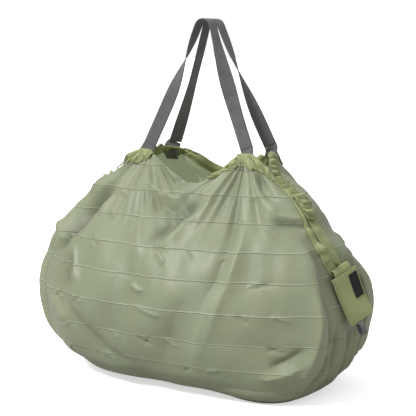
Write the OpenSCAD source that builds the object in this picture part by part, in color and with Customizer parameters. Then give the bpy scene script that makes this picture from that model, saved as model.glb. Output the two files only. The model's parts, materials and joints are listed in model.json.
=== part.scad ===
// Pull-to-fold carry bag: pleated cloth body, two webbing handles, an end tab at each end of the mouth.
// Millimetres. Origin at the centre of the flat base, +Z up, -Y the front panel, +X the labelled tab's end.

/* [Body] */
// Greatest length of the filled body along X
body_length = 640; // [560:2:700]
// Greatest depth of the filled body along Y
body_depth = 366; // [300:2:420]
// Height of the rim where the handles are sewn on
rim_height = 402; // [340:2:440]
// Height of the rim at both ends of the mouth, where the tabs are sewn
end_rim_height = 222; // [180:2:260]
// Height of the front rim half-way between the handle ends
front_rim_dip = 352; // [320:2:400]
// Height of the back rim half-way between the handle ends
back_rim_dip = 364; // [320:2:400]
// Thickness of the cloth walls
cloth_wall = 2.5; // [2:0.1:4]
// Distance between two pleat creases
pleat_pitch = 54; // [40:1:70]
// How far a crease stands in or out of the wall
pleat_relief = 1.5; // [0:0.1:4]
// How far the mouth pulls each end of the body inwards
end_dimple = 70; // [30:1:90]
// Half-width of that dimple
dimple_half_width = 50; // [40:1:70]
// Half-width of its front half at the labelled end, where the mouth pulls the front panel in further
labelled_dimple_half_width = 85; // [40:1:95]
// Thickness of the band sewn inside the mouth
facing_wall = 1.5; // [1:0.1:2.5]

/* [Handles] */
// Width of the handle webbing
webbing_width = 25; // [20:1:40]
// Thickness of the handle webbing
webbing_thickness = 1.8; // [1:0.1:3]
// Distance from the middle of the bag to each handle end along X
handle_foot_x = 98; // [70:1:110]
// Height of the highest point of the handles
handle_top = 628; // [560:1:680]
// Inner radius of the bend at the top of a handle
handle_bend = 14; // [8:1:30]
// Height of the line a handle swings about
handle_hinge_z = 409; // [404:0.5:415]
// Distance of that line from the middle of the bag
handle_hinge_y = 41.5; // [36:0.5:46]
// Free gap between the two handles at the top
handle_gap = 0.8; // [0.4:0.1:4]
// Length of webbing sewn inside the rim
sewn_length = 34; // [20:1:50]
// Lean of the sewn length, following the wall
sewn_lean = 21; // [10:0.5:35]

/* [End tabs] */
// Width of an end tab
tab_width = 60; // [40:1:80]
// Length of an end tab
tab_length = 86; // [60:1:110]
// Thickness of an end tab
tab_thickness = 1.8; // [1:0.1:2.2]
// Depth of the gathered stub that a tab is sewn to, at its front edge
tab_stub = 6.5; // [4:0.5:8]
// Depth of the labelled tab's stub at its rear edge
tab_stub_rear = 19; // [16:0.5:20]
// Height of that stub
tab_stub_height = 11; // [8:1:16]
// Width of that stub, narrower than the tab because its cloth is gathered
tab_stub_width = 40; // [30:1:50]
// Lean of the hanging tab
tab_lean = 12; // [8:0.5:25]
// Turn of the labelled tab towards the front
tab_yaw = 20; // [0:1:25]
// Tilt of the labelled tab in its own plane, its rear edge upwards
tab_roll = 18; // [0:1:25]
// Distance of the middle of the labelled tab's hinge line from the middle of the bag
tab_hinge_x = 262; // [260:0.5:268]
// The same for the plain tab, which hangs straight
plain_tab_hinge_x = 257.5; // [252:0.5:265]
// Distance of the labelled tab's hinge from the end seam, towards the front
tab_hinge_y = 8; // [0:0.5:12]
// Height of the tab's hinge line
tab_hinge_z = 211; // [190:0.5:220]
// Width of the label
label_width = 20; // [12:1:30]
// Length of the label
label_length = 42; // [25:1:60]
// Width of the retaining loop's elastic
loop_width = 10; // [6:1:14]
// Length of the retaining loop
loop_length = 22; // [16:1:30]
// Distance across the retaining loop
loop_depth = 12; // [10:0.5:14]

/* [Hidden] */
column_step = 6;
base_height = cloth_wall;
clear = 0.4;
swing_room = 3;
thread = 0.9;
thread_depth = 0.5;
loop_wall = 1.3;
loop_gap = 1.7;
loop_y = -6;

// Height, half-length, half-depth and squareness of the body, as shares of its size.
body_profile = [
    [0.000, 0.650, 0.680, 4.2],
    [0.025, 0.716, 0.765, 3.7],
    [0.077, 0.800, 0.858, 3.1],
    [0.154, 0.885, 0.934, 2.7],
    [0.256, 0.959, 0.989, 2.4],
    [0.383, 1.000, 1.000, 2.2],
    [0.512, 1.000, 0.945, 2.1],
    [0.627, 0.952, 0.820, 2.05],
    [0.731, 0.834, 0.667, 2.1],
    [0.821, 0.694, 0.520, 2.6],
    [0.910, 0.545, 0.375, 4.0],
    [1.000, 0.414, 0.273, 8.0]
];

// Share of the end dimple at each share of the height.
dimple_profile = [[0, 0], [0.08, 0.14], [0.15, 0.33], [0.26, 0.55], [0.38, 0.8], [0.5, 1], [0.58, 1], [0.8, 0.2], [1, 0]];

// Rim height by the angle from the nearer end of the mouth; the middle is added for each panel.
function rim_profile(dip) = [
    [0, end_rim_height], [6, 230], [12, 245], [18, 266], [24, 290], [30, 318], [36, 350], [42, 380],
    [48, rim_height], [60, rim_height], [72, dip + 20], [84, dip + 2], [90, dip]
];

function profile_at(height, column) = lookup(height / rim_height, [for (p = body_profile) [p[0], p[column]]]);

function angle_from_end(t) = 90 - abs(90 - ((t + 720) % 180));

function rim_z(t) = lookup(angle_from_end(t), rim_profile(sin(t) < 0 ? front_rim_dip : back_rim_dip));

// Rows of the wall: equal steps over the pleats, then the rest shared out up to the rim.
pleat_rows = [for (k = [0 : 6]) pleat_pitch / 2 * (k + 1)];
low_rows = concat([base_height, 10], pleat_rows);
rows_above = 6;
row_count = len(low_rows) + rows_above;
rim_row = row_count - 1;

function row_z(row, t) =
    row < len(low_rows) ? low_rows[row]
    : low_rows[len(low_rows) - 1]
        + (rim_z(t) - low_rows[len(low_rows) - 1]) * (row - len(low_rows) + 1) / rows_above;

// Creases stand out and in by turns, one at every pleat pitch.
function relief(row) =
    row < 2 || row >= len(low_rows) ? 0 : (row % 2 == 1 ? 0 : (row % 4 == 2 ? -pleat_relief : pleat_relief));

// A point of the wall: t is the angle round the bag, inset the depth below the outer face.
function wall_point(t, z, inset) =
    let (
        a = profile_at(z, 1) * body_length / 2 - inset,
        b = profile_at(z, 2) * body_depth / 2 - inset,
        n = profile_at(z, 3),
        k = pow(pow(abs(cos(t)), n) + pow(abs(sin(t)), n), -1 / n),
        x = a * cos(t) * k,
        y = b * sin(t) * k,
        half = x > 0 && y < 0 ? labelled_dimple_half_width : dimple_half_width,
        push = end_dimple * lookup(z / rim_height, dimple_profile) * exp(-pow(abs(y) / half, 6))
    )
    [x - push * cos(t), y, z];

// A closed patch of cloth between two angles and two rows, between two depths.
module cloth_patch(t_from, t_to, row_from, row_to, outer, inner) {
    columns = round((t_to - t_from) / column_step);
    rows = row_to - row_from;
    w = columns + 1;
    h = rows + 1;
    function skin(depth) = [
        for (r = [0 : rows], c = [0 : columns])
            let (t = t_from + c * column_step, row = row_from + r)
                wall_point(t, row_z(row, t), depth - relief(row))
    ];
    function at(side, r, c) = side * w * h + r * w + c;
    points = concat(skin(outer), skin(inner));
    outer_faces = [
        for (r = [0 : rows - 1], c = [0 : columns - 1], f = [0, 1])
            f == 0 ? [at(0, r, c), at(0, r + 1, c), at(0, r, c + 1)]
                   : [at(0, r, c + 1), at(0, r + 1, c), at(0, r + 1, c + 1)]
    ];
    inner_faces = [
        for (r = [0 : rows - 1], c = [0 : columns - 1], f = [0, 1])
            f == 0 ? [at(1, r, c), at(1, r, c + 1), at(1, r + 1, c)]
                   : [at(1, r, c + 1), at(1, r + 1, c + 1), at(1, r + 1, c)]
    ];
    edge_faces = concat(
        [for (c = [0 : columns - 1]) [at(0, 0, c), at(0, 0, c + 1), at(1, 0, c + 1)]],
        [for (c = [0 : columns - 1]) [at(0, 0, c), at(1, 0, c + 1), at(1, 0, c)]],
        [for (c = [0 : columns - 1]) [at(0, rows, c), at(1, rows, c), at(1, rows, c + 1)]],
        [for (c = [0 : columns - 1]) [at(0, rows, c), at(1, rows, c + 1), at(0, rows, c + 1)]],
        [for (r = [0 : rows - 1]) [at(0, r, 0), at(1, r, 0), at(1, r + 1, 0)]],
        [for (r = [0 : rows - 1]) [at(0, r, 0), at(1, r + 1, 0), at(0, r + 1, 0)]],
        [for (r = [0 : rows - 1]) [at(0, r, columns), at(1, r + 1, columns), at(1, r, columns)]],
        [for (r = [0 : rows - 1]) [at(0, r, columns), at(0, r + 1, columns), at(1, r + 1, columns)]]
    );
    polyhedron(points = points, faces = concat(outer_faces, inner_faces, edge_faces), convexity = 10);
}

// Flat base the bag stands on, cut to the body's lowest outline.
module bottom_panel() {
    color([0.44, 0.47, 0.37])
        linear_extrude(base_height)
            polygon([
                for (t = [0 : column_step : 359])
                    let (p = wall_point(t, base_height, 0)) [p[0], p[1]]
            ]);
}

// Front half of the pleated wall, from one end seam round to the other.
module front_panel() {
    color([0.56, 0.6, 0.49]) cloth_patch(180, 360, 0, rim_row, 0, cloth_wall);
}

// Back half of the pleated wall.
module back_panel() {
    color([0.56, 0.6, 0.49]) cloth_patch(0, 180, 0, rim_row, 0, cloth_wall);
}

// Band sewn inside the front rim between the handle ends.
module front_hem_facing() {
    color([0.63, 0.66, 0.5]) cloth_patch(234, 306, rim_row - 1, rim_row, cloth_wall, cloth_wall + facing_wall);
}

// Band sewn inside the back rim.
module back_hem_facing() {
    color([0.63, 0.66, 0.5]) cloth_patch(54, 126, rim_row - 1, rim_row, cloth_wall, cloth_wall + facing_wall);
}

// Gathered band round the right end of the mouth, under the tab.
module right_gathered_hem() {
    color([0.6, 0.64, 0.47]) cloth_patch(-42, 42, rim_row - 1, rim_row, cloth_wall, cloth_wall + facing_wall);
}

// Gathered band round the left end of the mouth.
module left_gathered_hem() {
    color([0.6, 0.64, 0.47]) cloth_patch(138, 222, rim_row - 1, rim_row, cloth_wall, cloth_wall + facing_wall);
}

// Line of the front handle's webbing, as shares 0 to 1 from the left foot to the right foot.
handle_steps = 48;
leg_steps = 18;
bend_radius = handle_bend + webbing_thickness / 2;
bend_z = handle_top - handle_bend - webbing_thickness;
foot_z = handle_hinge_z + clear;
foot_to_bend = norm([handle_foot_x, bend_z - foot_z]);
leg_angle = atan2(bend_z - foot_z, handle_foot_x) + asin(bend_radius / foot_to_bend);
top_y = handle_gap / 2 + webbing_width / 2;
leg_end_x = bend_radius * sin(leg_angle);
leg_end_z = bend_z + bend_radius * cos(leg_angle);

function handle_point(i) =
    i < leg_steps ? let (s = i / leg_steps)
        [-handle_foot_x + (handle_foot_x - leg_end_x) * s,
         -handle_hinge_y + (handle_hinge_y - top_y) * s,
         foot_z + (leg_end_z - foot_z) * s]
    : i <= handle_steps - leg_steps ? let (
        s = (i - leg_steps) / (handle_steps - 2 * leg_steps),
        angle = 90 + leg_angle - 2 * leg_angle * s)
        [bend_radius * cos(angle), -top_y, bend_z + bend_radius * sin(angle)]
    : let (p = handle_point(handle_steps - i)) [-p[0], p[1], p[2]];

// Quarter turn of the webbing between its foot and the bend.
function handle_twist(i) =
    let (s = min(1, min(i, handle_steps - i) / leg_steps), u = max(0, min(1, (s - 0.15) / 0.8)))
        90 * u * u * (3 - 2 * u);

function unit(v) = v / norm(v);

// Half-width and half-thickness vectors of the webbing at one step.
function handle_across(i) =
    i == 0 || i == handle_steps ? [(i == 0 ? 1 : -1) * webbing_width / 2 / sin(leg_angle), 0, 0]
    : let (
        along = unit(handle_point(i + 1) - handle_point(i - 1)),
        flat = unit(cross([0, 1, 0], along)),
        deep = cross(along, flat),
        turn = handle_twist(i))
        webbing_width / 2 * (flat * cos(turn) - deep * sin(turn));

function handle_normal(i) =
    i == 0 || i == handle_steps ? [0, webbing_thickness / 2, 0]
    : webbing_thickness / 2
        * unit(cross(handle_point(i + 1) - handle_point(i - 1), handle_across(i)));

module handle_ribbon() {
    points = [
        for (i = [0 : handle_steps])
            let (p = handle_point(i), a = handle_across(i), n = handle_normal(i))
                each [p - a - n, p + a - n, p + a + n, p - a + n]
    ];
    sides = [
        for (i = [0 : handle_steps - 1], k = [0 : 3], f = [0, 1])
            let (a = 4 * i + k, b = 4 * i + (k + 1) % 4)
                f == 0 ? [a, a + 4, b] : [b, a + 4, b + 4]
    ];
    last = 4 * handle_steps;
    ends = [[0, 1, 2], [0, 2, 3], [last, last + 2, last + 1], [last, last + 3, last + 2]];
    polyhedron(points = points, faces = concat(sides, ends), convexity = 10);
}

// Webbing loop over the front of the mouth, twisting a quarter turn up each leg.
module front_handle() {
    color([0.4, 0.4, 0.41]) handle_ribbon();
}

// The same loop behind.
module back_handle() {
    color([0.4, 0.4, 0.41]) mirror([0, 1, 0]) handle_ribbon();
}

// Places a child on the sewn length below one handle foot; side is -1 or 1 along X.
module at_sewn_end(side) {
    translate([side * handle_foot_x, -handle_hinge_y, handle_hinge_z - clear])
        rotate([-sewn_lean, 0, 0])
            children();
}

module sewn_pair() {
    for (side = [-1, 1])
        at_sewn_end(side)
            translate([-webbing_width / 2, -webbing_thickness / 2, -sewn_length])
                cube([webbing_width, webbing_thickness, sewn_length - swing_room]);
}

// Ends of the front handle's webbing, sewn inside the rim.
module front_handle_ends() {
    color([0.36, 0.36, 0.37]) sewn_pair();
}

// Ends of the back handle's webbing.
module back_handle_ends() {
    color([0.36, 0.36, 0.37]) mirror([0, 1, 0]) sewn_pair();
}

// One crossed box of thread.
module box_stitch(width, height) {
    half = [width / 2, height / 2];
    diagonal = norm([width, height]) - 2 * thread;
    linear_extrude(thread_depth) {
        difference() {
            square([width, height], center = true);
            square([width - 2 * thread, height - 2 * thread], center = true);
        }
        for (turn = [-1, 1])
            rotate(turn * atan2(height, width)) square([diagonal, thread], center = true);
    }
}

// Crossed stitching on the four sewn handle ends.
module handle_stitching() {
    color([0.25, 0.25, 0.25])
        for (flip = [0, 1])
            mirror([0, flip, 0])
                for (side = [-1, 1])
                    at_sewn_end(side)
                        translate([0, webbing_thickness / 2 + thread_depth, -sewn_length / 2 - 4])
                            rotate([90, 0, 0])
                                box_stitch(webbing_width - 6, webbing_width - 6);
}

// Places a child on a tab: local Y across it, local Z up along it, local X out of it.
module at_tab(side) {
    if (side > 0)
        translate([tab_hinge_x, -tab_hinge_y, tab_hinge_z])
            rotate([0, 0, -tab_yaw])
                rotate([0, -tab_lean, 0])
                    rotate([tab_roll, 0, 0])
                        children();
    else
        mirror([1, 0, 0])
            translate([plain_tab_hinge_x, 0, tab_hinge_z])
                rotate([0, -tab_lean, 0])
                    children();
}

// Cloth tab with rounded lower corners.
module tab_shape() {
    corner = 5;
    translate([-tab_thickness / 2, 0, 0])
        rotate([90, 0, 90])
            linear_extrude(tab_thickness)
                union() {
                    translate([-tab_width / 2, -tab_length + corner]) square([tab_width, tab_length - corner - clear]);
                    translate([-tab_width / 2 + corner, -tab_length]) square([tab_width - 2 * corner, corner + 1]);
                    for (s = [-1, 1])
                        translate([s * (tab_width / 2 - corner), -tab_length + corner]) circle(corner, $fn = 32);
                }
}

// Pull tab at the right end of the mouth, hanging in the dimple.
module right_end_tab() {
    color([0.52, 0.55, 0.39]) at_tab(1) tab_shape();
}

// Pull tab at the left end.
module left_end_tab() {
    color([0.52, 0.55, 0.39]) at_tab(-1) tab_shape();
}

// Gathered stub at the end seam, to which a tab is sewn.
module tab_root(side) {
    at_tab(side)
        translate([0, 0, clear])
            linear_extrude(tab_stub_height)
                polygon([
                    [tab_thickness / 2, -tab_stub_width / 2],
                    [tab_thickness / 2, tab_stub_width / 2],
                    [side > 0 ? -tab_stub_rear : -tab_stub, tab_stub_width / 2],
                    [-tab_stub, -tab_stub_width / 2]
                ]);
}

module right_tab_root() {
    color([0.5, 0.53, 0.38]) tab_root(1);
}

module left_tab_root() {
    color([0.5, 0.53, 0.38]) tab_root(-1);
}

// Thread lines across both tab roots.
module tab_stitching() {
    margin = 4;
    color([0.3, 0.33, 0.22])
        for (side = [-1, 1], row = [0, 1])
            at_tab(side)
                translate([tab_thickness / 2, -tab_stub_width / 2 + margin, 3 + 5 * row])
                    cube([thread_depth, tab_stub_width - 2 * margin, thread]);
}

// Plain woven label, lying along the tab's rear edge.
module woven_label() {
    color([0.09, 0.09, 0.09])
        at_tab(1)
            translate([tab_thickness / 2, tab_width / 2 - label_width - 3, -label_length - 8])
                cube([0.8, label_width, label_length]);
}

// Elastic loop hanging from the tab's lower edge.
module retaining_loop() {
    end_radius = loop_depth / 2;
    color([0.4, 0.4, 0.43])
        at_tab(1)
            translate([0, loop_y + loop_width / 2, -tab_length - loop_gap - loop_length])
                rotate([90, 0, 0])
                    linear_extrude(loop_width)
                        difference() {
                            loop_outline(end_radius, loop_length);
                            translate([0, loop_wall]) loop_outline(end_radius - loop_wall, loop_length - 2 * loop_wall);
                        }
}

module loop_outline(radius, length) {
    for (z = [radius, length - radius])
        translate([0, z]) circle(radius, $fn = 40);
    translate([-radius, radius]) square([2 * radius, length - 2 * radius]);
}

bottom_panel();
front_panel();
back_panel();
front_hem_facing();
back_hem_facing();
right_gathered_hem();
left_gathered_hem();
front_handle();
back_handle();
front_handle_ends();
back_handle_ends();
handle_stitching();
right_end_tab();
left_end_tab();
right_tab_root();
left_tab_root();
tab_stitching();
woven_label();
retaining_loop();
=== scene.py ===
"""Pull-to-fold carry bag, stuffed full, with its handles held up.

Metres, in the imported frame: origin at the centre of the base, +Z up, -Y the front panel, +X the end with
the labelled tab. Shapes are written in millimetres and scaled by MM when a mesh is made.
"""

import json
import math

import bpy
import numpy as np
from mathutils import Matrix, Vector


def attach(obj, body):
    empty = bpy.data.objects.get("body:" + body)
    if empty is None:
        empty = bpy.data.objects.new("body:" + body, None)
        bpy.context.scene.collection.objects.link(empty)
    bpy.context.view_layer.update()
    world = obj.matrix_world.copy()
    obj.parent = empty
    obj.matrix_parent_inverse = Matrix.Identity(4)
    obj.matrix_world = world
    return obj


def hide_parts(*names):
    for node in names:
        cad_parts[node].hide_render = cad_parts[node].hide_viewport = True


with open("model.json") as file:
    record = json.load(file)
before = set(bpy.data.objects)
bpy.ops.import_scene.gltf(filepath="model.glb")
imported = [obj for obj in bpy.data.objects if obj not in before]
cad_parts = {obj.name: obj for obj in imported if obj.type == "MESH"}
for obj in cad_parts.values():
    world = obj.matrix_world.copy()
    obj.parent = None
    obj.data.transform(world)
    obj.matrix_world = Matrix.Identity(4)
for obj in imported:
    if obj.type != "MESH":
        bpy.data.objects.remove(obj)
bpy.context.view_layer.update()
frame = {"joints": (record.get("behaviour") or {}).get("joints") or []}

MM = 0.001
JOINTS = {joint["name"]: joint for joint in frame["joints"]}

# ---- numbers of the object

# Height, then half-lengths towards the labelled end in front and behind, half-length towards the plain end,
# half-depth, and squareness of the filled body.
RINGS = np.array([
    (0, 206, 198, 172, 122, 4.2),
    (10, 229, 218, 205, 140, 3.7),
    (31, 256, 240, 248, 157, 3.1),
    (62, 283, 262, 288, 170, 2.7),
    (103, 307, 282, 317, 179, 2.4),
    (154, 320, 292, 328, 180, 2.2),
    (206, 320, 284, 326, 173, 2.1),
    (252, 305, 258, 312, 150, 2.05),
    (294, 267, 236, 276, 122, 2.1),
    (330, 222, 198, 230, 95, 2.6),
    (366, 174, 156, 178, 68, 4.0),
    (402, 132, 128, 132, 50, 8.0),
], float)

# Share of the half-depth kept at the foot of the front panel, where its plain end is lifted off the ground.
LIFTED_FOOT = np.array([(0, 0.58), (10, 0.8), (31, 0.95), (62, 1.0), (402, 1.0)], float)

# Rim height by the angle from the nearer end of the mouth, and its lowest height half-way along each panel.
RIM = np.array([
    (0, 222), (6, 230), (12, 245), (18, 266), (24, 290),
    (30, 318), (36, 350), (42, 380), (48, 399), (60, 399),
], float)
FRONT_DIP = 352
BACK_DIP = 364
# How much lower the back rim hangs towards the labelled end.
BACK_RIGHT_DROP = 7

# The back rim is drawn forward at each end of the mouth: its gap behind the front rim, the height of cloth
# that follows it, and how far that cloth puffs up.
DRAWN_GAP = 5
DRAWN_CLOTH = 78
PUFF = 9

# End tabs, and how far the cloth behind them keeps clear while they hang and when they are lifted right up.
TAB_WIDTH = 60
TAB_LENGTH = 86
TAB_CLEARANCE = 4
LIFTED_TAB_CLEARANCE = 7
TAB_LIFT = JOINTS["right_tab_lift"]["range_deg"][1]
# How far the elastic loop hangs below the labelled tab.
LOOP_REACH = 26

# Share of the end dimple by height.
DIMPLE = np.array([
    (0, 0), (32, 0.14), (60, 0.33), (104, 0.55), (153, 0.8), (201, 1), (233, 1), (322, 0.2), (402, 0),
], float)
END_DIMPLE = 70
DIMPLE_HALF_WIDTH = 50
LABELLED_DIMPLE_HALF_WIDTH = 85

# Heights of the pressed pleat creases, how far they stand in and out, and how many small buckles lie on them.
CREASES = np.array([-8, 25, 62, 106, 156, 206, 252, 294, 336, 376, 412], float)
PLEAT_RELIEF = 2.4
PINCHES = 46

# Factors on the height and half-width of every fold listed below, and how steep its sides are.
FOLD_HEIGHT = 1.25
FOLD_WIDTH = 0.9
FOLD_STEEPNESS = 1.4

# Depth at which the bottom of a fold, and of a ruffle in a band, has its full painted shade.
FULL_HOLLOW = 20
FULL_RUFFLE = 6

# Handles: where their feet stand, their highest point, the bend there, and its place in front of the middle.
HANDLE_HINGE = JOINTS["front_handle_swing"]["pos_m"]
HINGE_Y = -HANDLE_HINGE[1] / MM
HINGE_Z = HANDLE_HINGE[2] / MM
FOOT_X = 98.0
HANDLE_TOP = 628.0
HANDLE_TOP_Y = 13.2
BEND = 15.0
WEBBING_WIDTH = 25.0
WEBBING_THICKNESS = 1.8

# Lengths of webbing sewn inside the rim: length, lean, sideways spread, and gap to the outside of the cloth.
SEWN_LENGTH = 34
SEWN_LEAN = 21
SEWN_SPREAD = 8
SEWN_GAP = 3.2

# Thickness of the body's cloth and of the facing, and how far the base cloth lies above the floor.
CLOTH_THICKNESS = 0.8
FACING_THICKNESS = 0.7
BASE_LIFT = 1.4

# Points round the body and from its foot to its rim.
COLUMNS = 720
ROWS = 240

# Long soft folds of the front panel: points (x, z), half-width, height.
FRONT_FOLDS = [
    # cowl hanging between the handles
    ([(-84, 392), (-80, 365), (-62, 342), (-36, 330), (-5, 326), (22, 334)], 8, 7.5),
    ([(-70, 335), (-40, 316), (0, 310), (40, 318)], 13, -5),
    ([(-60, 385), (-45, 362), (-10, 350), (20, 352)], 12, -4),
    # valley that runs from under the cowl to the lower left
    ([(74, 325), (23, 308), (-8, 275), (-32, 250)], 15, -9),
    ([(66, 340), (45, 305), (20, 272), (-5, 240)], 11, 6),
    ([(-60, 300), (-45, 265), (-28, 225)], 14, 4),
    # small buckles hanging on the creases
    ([(-4, 247), (6, 240), (20, 226)], 5, 3.6),
    ([(-12, 254), (4, 249), (14, 247)], 4, -3.6),
    ([(-42, 194), (-26, 183), (-10, 184)], 5, 3.2),
    ([(-46, 240), (-48, 215), (-44, 196)], 9, -2),
    ([(-32, 158), (-4, 150), (30, 144)], 5, 3),
    # left flank: a standing crease with a hook, and the shoulder
    ([(-200, 236), (-186, 232), (-174, 200), (-160, 168)], 6, 5),
    ([(-190, 228), (-196, 190), (-190, 160)], 14, -6),
    ([(-130, 350), (-185, 304), (-236, 236), (-274, 208)], 15, -12),
    ([(-150, 366), (-205, 322), (-262, 256), (-300, 214)], 11, 5),
    ([(-108, 372), (-150, 320), (-172, 280)], 14, 5),
    ([(-240, 150), (-205, 120), (-180, 104)], 13, 6),
    ([(-190, 145), (-150, 104), (-90, 64), (-40, 44)], 14, -6),
    # fold that falls from the right handle and turns to the lower left
    ([(104, 398), (112, 360), (132, 305), (140, 262), (134, 205), (110, 130), (84, 80)], 12, 4.2),
    ([(92, 392), (94, 350), (112, 300), (122, 262), (114, 212), (88, 140)], 11, -3.5),
    ([(88, 388), (66, 330), (50, 280)], 9, 5),
    ([(76, 378), (48, 322), (30, 296)], 9, 4),
    ([(96, 386), (84, 330), (74, 288)], 8, -4),
    ([(118, 396), (130, 352), (160, 326), (200, 300)], 9, 5.5),
    ([(126, 380), (146, 342), (176, 322)], 6, -5),
    ([(176, 298), (205, 292), (228, 283)], 5, -5),
    ([(150, 330), (176, 306), (206, 300), (240, 262)], 9, 6),
    # foot of the panel, towards the labelled end
    ([(196, 70), (225, 84), (256, 106)], 9, -6),
    ([(180, 50), (214, 60), (250, 78)], 8, 5),
    ([(120, 200), (90, 120), (70, 60)], 18, 4),
    ([(70, 190), (40, 120), (10, 60)], 18, -3),
]

# The same for the back panel, a plainer set.
BACK_FOLDS = [
    ([(-100, 396), (-84, 350), (-50, 330), (0, 322), (50, 330), (84, 352), (98, 392)], 9, 7),
    ([(-60, 312), (0, 300), (60, 312)], 14, -5),
    ([(104, 396), (130, 340), (170, 280), (190, 200)], 12, 7),
    ([(-104, 396), (-132, 340), (-160, 270), (-200, 220)], 11, 7),
    ([(90, 380), (70, 310), (40, 240), (20, 160)], 13, 5),
    ([(-86, 380), (-60, 300), (-20, 220), (-30, 140)], 14, -6),
    ([(-120, 360), (-180, 310), (-250, 240), (-286, 206)], 14, -9),
    ([(120, 360), (180, 306), (246, 240), (280, 200)], 14, -9),
    ([(-210, 230), (-186, 190), (-180, 150)], 9, 5),
    ([(220, 226), (200, 180), (204, 130)], 9, 5),
    ([(180, 140), (120, 90), (60, 56)], 15, -5),
    ([(-190, 130), (-130, 84), (-60, 52)], 15, 4),
    ([(10, 206), (30, 180), (60, 172)], 8, 4),
    ([(-90, 160), (-60, 150), (-30, 156)], 6, 3),
]

# Upright folds where each end is drawn in under its tab: points (y, z), half-width, height.
END_FOLDS = [
    ([(-88, 212), (-84, 180), (-77, 150), (-68, 118), (-60, 84)], 10, -19),
    ([(-66, 90), (-74, 58), (-84, 22)], 6, -9),
    ([(-66, 150), (-64, 100), (-62, 50), (-60, 14)], 6, 6),
    ([(-108, 210), (-106, 150), (-110, 90), (-112, 40)], 9, 6),
    ([(-40, 130), (-40, 90), (-44, 40), (-46, 10)], 7, -6),
    ([(-20, 124), (-18, 80), (-20, 30), (-20, 8)], 7, 5),
    ([(4, 124), (6, 80), (6, 30), (8, 8)], 7, -6),
    ([(26, 124), (30, 84), (32, 30)], 7, 5),
    ([(48, 214), (56, 150), (58, 90), (56, 30)], 7, -9),
    ([(72, 226), (84, 160), (90, 100), (84, 30)], 9, 8),
    ([(100, 214), (112, 150), (112, 90)], 8, -6),
    ([(-50, 262), (-36, 247), (-30, 223)], 7, 8),
    ([(58, 262), (84, 236), (96, 200)], 7, -8),
    ([(74, 270), (104, 240), (112, 205)], 8, 8),
]

rng = np.random.default_rng(11)


# ---- shared mathematics

def smooth_curve(x, table, column=1):
    """Cubic curve through a table's points, flat at neither end, held constant beyond them."""
    xs, ys = table[:, 0], table[:, column]
    slopes = np.gradient(ys, xs)
    x = np.clip(x, xs[0], xs[-1])
    k = np.clip(np.searchsorted(xs, x, side="right") - 1, 0, len(xs) - 2)
    step = xs[k + 1] - xs[k]
    s = (x - xs[k]) / step
    return (
        ys[k] * (1 + 2 * s) * (1 - s) ** 2
        + slopes[k] * step * s * (1 - s) ** 2
        + ys[k + 1] * s * s * (3 - 2 * s)
        + slopes[k + 1] * step * s * s * (s - 1)
    )


def ease(x, low, high):
    """0 below low, 1 above high, smooth between."""
    s = np.clip((x - low) / (high - low), 0, 1)
    return s * s * (3 - 2 * s)


def ripple(x, waves, shortest, longest):
    """A smooth wandering line of about unit size, made of seeded sine waves."""
    total = np.zeros_like(x, float)
    for _ in range(waves):
        length = shortest + (longest - shortest) * rng.random()
        total += np.sin(2 * math.pi * (x / length + rng.random()))
    return total / math.sqrt(waves / 2)


def unit(v):
    return v / np.maximum(np.linalg.norm(v, axis=-1, keepdims=True), 1e-9)


def distances(line):
    """Distance run along a line of points, from 0 at the first."""
    return np.concatenate([[0], np.cumsum(np.linalg.norm(np.diff(line, axis=0), axis=1))])


def stroke(u, z, line, width, height):
    """A soft ridge, or a valley for a negative height, along a line of points; it fades at both ends."""
    line = np.array(line, float)
    legs = np.diff(line, axis=0)
    lengths = np.linalg.norm(legs, axis=1)
    starts = np.concatenate([[0], np.cumsum(lengths)])
    nearest = np.full(u.shape, 1e9)
    place = np.zeros(u.shape)
    for start, leg, length, before in zip(line, legs, lengths, starts):
        along = ((u - start[0]) * leg[0] + (z - start[1]) * leg[1]) / length**2
        along = np.clip(along, 0, 1)
        away = np.hypot(u - start[0] - along * leg[0], z - start[1] - along * leg[1])
        closer = away < nearest
        nearest = np.where(closer, away, nearest)
        place = np.where(closer, before + along * length, place)
    share = place / starts[-1]
    fade = ease(share, 0, 0.25) * (1 - ease(share, 0.7, 1))
    profile = np.exp(-((nearest / (width * FOLD_WIDTH)) ** FOLD_STEEPNESS))
    return height * FOLD_HEIGHT * profile * (0.15 + 0.85 * fade)


# ---- the body's surface

def front_dip_shape(angle):
    """Share of the front rim's dip, in a blunt V: 0 at the handles, 1 a little right of the middle."""
    lowest, reach, blunt = 5.0, 33.0, 0.02
    towards_left = (lowest - angle) / (reach + lowest)
    towards_right = (angle - lowest) / (reach - lowest)
    from_lowest = np.where(angle < lowest, towards_left, towards_right)
    rise = np.sqrt(from_lowest**2 + blunt) - math.sqrt(blunt)
    return np.clip(1 - rise / (math.sqrt(1 + blunt) - math.sqrt(blunt)), 0, 1)


def rim_height(t):
    """Height of the mouth's edge at an angle round the bag."""
    from_end = 90 - np.abs(90 - np.degrees(t) % 180)
    dip = np.where(np.sin(t) < 0, FRONT_DIP, BACK_DIP)
    ends = smooth_curve(from_end, RIM)
    middle = np.where(np.sin(t) < 0, front_dip_shape(np.degrees(t) - 270), ease(from_end, 58, 88))
    back_right = (np.sin(t) > 0) & (np.cos(t) > 0)
    drop = BACK_RIGHT_DROP * ease(from_end, 6, 24) * (1 - ease(from_end, 60, 88))
    return ends + (dip - ends) * middle - drop * back_right


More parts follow.
